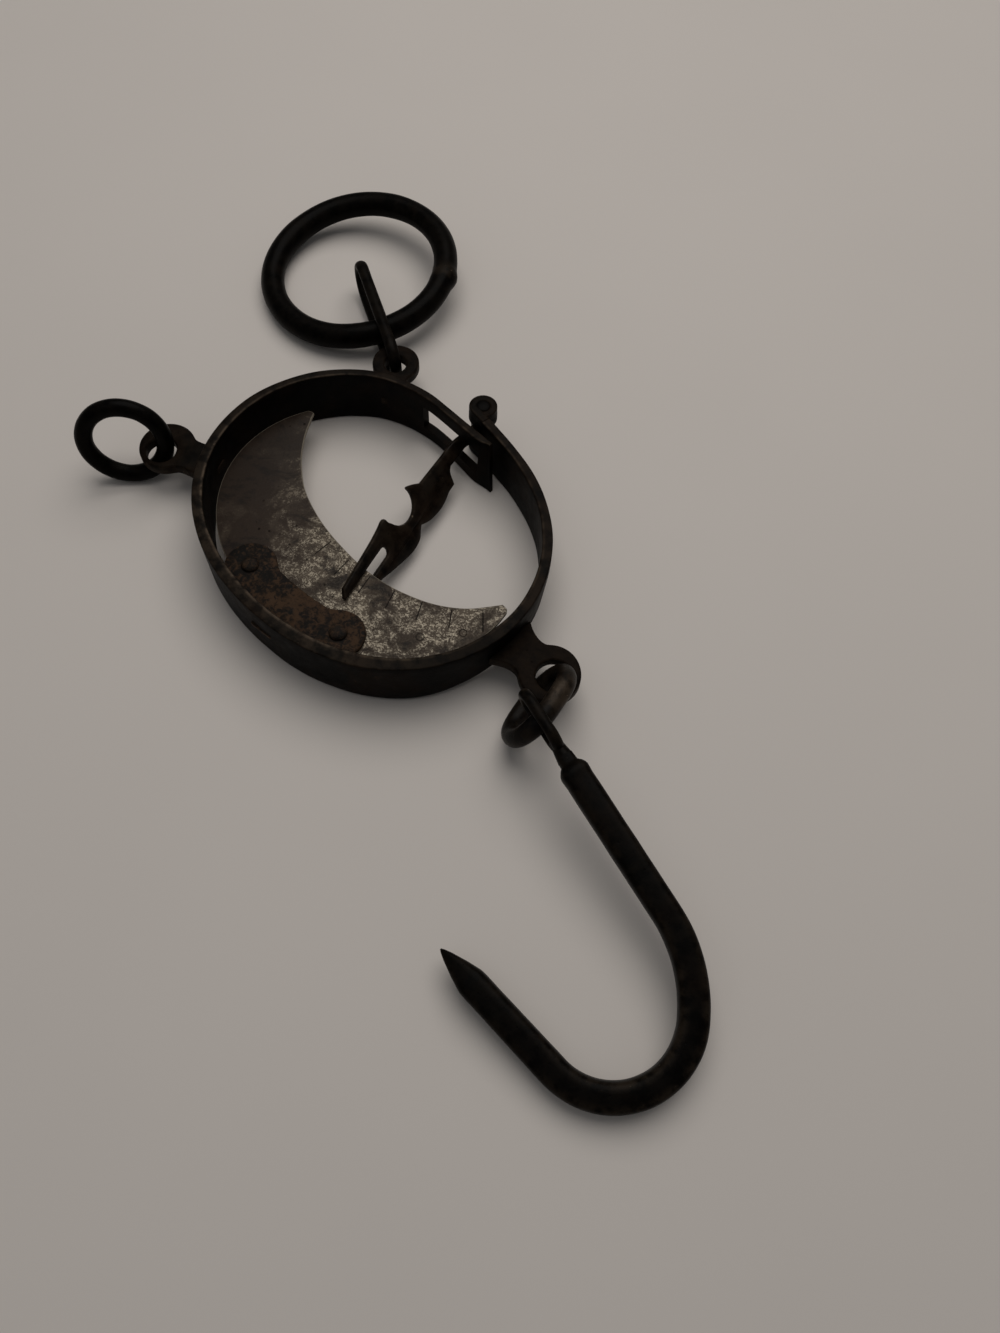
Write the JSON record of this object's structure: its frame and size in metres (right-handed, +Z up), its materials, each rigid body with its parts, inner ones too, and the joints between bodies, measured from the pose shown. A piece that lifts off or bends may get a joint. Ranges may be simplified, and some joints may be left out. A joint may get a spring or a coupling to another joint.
{
  "type": "hanging scale",
  "caption": "Hanging scale with an open ring spring, hinged pointer on a crescent dial, suspension ring, side ring and a hook for the load.",
  "frame": {"origin": "middle of the object's outline, on the table that it lies on", "axes": "+Z up out of the lying scale, through the open ring; +Y towards the suspension ring; +X to the right, towards the hook side"},
  "size_m": [0.2213, 0.3504, 0.033],
  "materials": {
    "dark_iron": "forged iron, near black, soft sheen, brown and worn along the rims",
    "worn_iron": "forged iron, worn bright where pieces rub",
    "brown_iron": "forged iron with an even brown patina",
    "dial_steel": "grey steel plate, mottled with tarnish and small bright scratches",
    "rusty_iron": "iron with a rough brown and orange rust",
    "black_iron": "forged iron, black, smooth with eased edges"
  },
  "bodies": {
    "frame": {"spring_band": "dark_iron", "hinge_pin": "worn_iron", "dial_plate": "dial_steel", "dial_bracket": "rusty_iron", "dial_rivets": "rusty_iron", "top_lug": "brown_iron", "left_lug": "brown_iron", "hook_lug": "brown_iron"},
    "pointer": {"pointer": "brown_iron"},
    "small_ring": {"small_ring": "black_iron"},
    "top_link": {"top_link": "black_iron"},
    "suspension_ring": {"suspension_ring": "black_iron"},
    "hook_link": {"hook_link": "worn_iron"},
    "hook": {"hook": "black_iron"}
  },
  "joints": [
    {"name": "pointer_hinge", "type": "hinge", "parent": "frame", "child": "pointer", "pos_m": [0.03252, 0.05672, 0.0112], "axis": [0, 0, 1], "range_deg": [-24, 27]},
    {"name": "small_ring_swing", "type": "hinge", "parent": "frame", "child": "small_ring", "pos_m": [-0.0816, 0.0348, 0.0112], "axis": [0, 0, 1], "range_deg": [-45, 45]},
    {"name": "top_link_swing", "type": "hinge", "parent": "frame", "child": "top_link", "pos_m": [-0.00244, 0.08245, 0.0112], "axis": [0, 0, 1], "range_deg": [-30, 30]},
    {"name": "suspension_ring_swing", "type": "hinge", "parent": "top_link", "child": "suspension_ring", "pos_m": [-0.01018, 0.10219, 0.00938], "axis": [0.9311, 0.3649, 0], "range_deg": [-80, 90]},
    {"name": "hook_link_swing", "type": "hinge", "parent": "frame", "child": "hook_link", "pos_m": [0.0623, -0.04503, 0.0112], "axis": [0, 0, 1], "range_deg": [-30, 30]},
    {"name": "hook_swing", "type": "hinge", "parent": "hook_link", "child": "hook", "pos_m": [0.05835, -0.06478, 0.0219], "axis": [0.4833, 0.8755, 0], "range_deg": [-60, 20]}
  ]
}
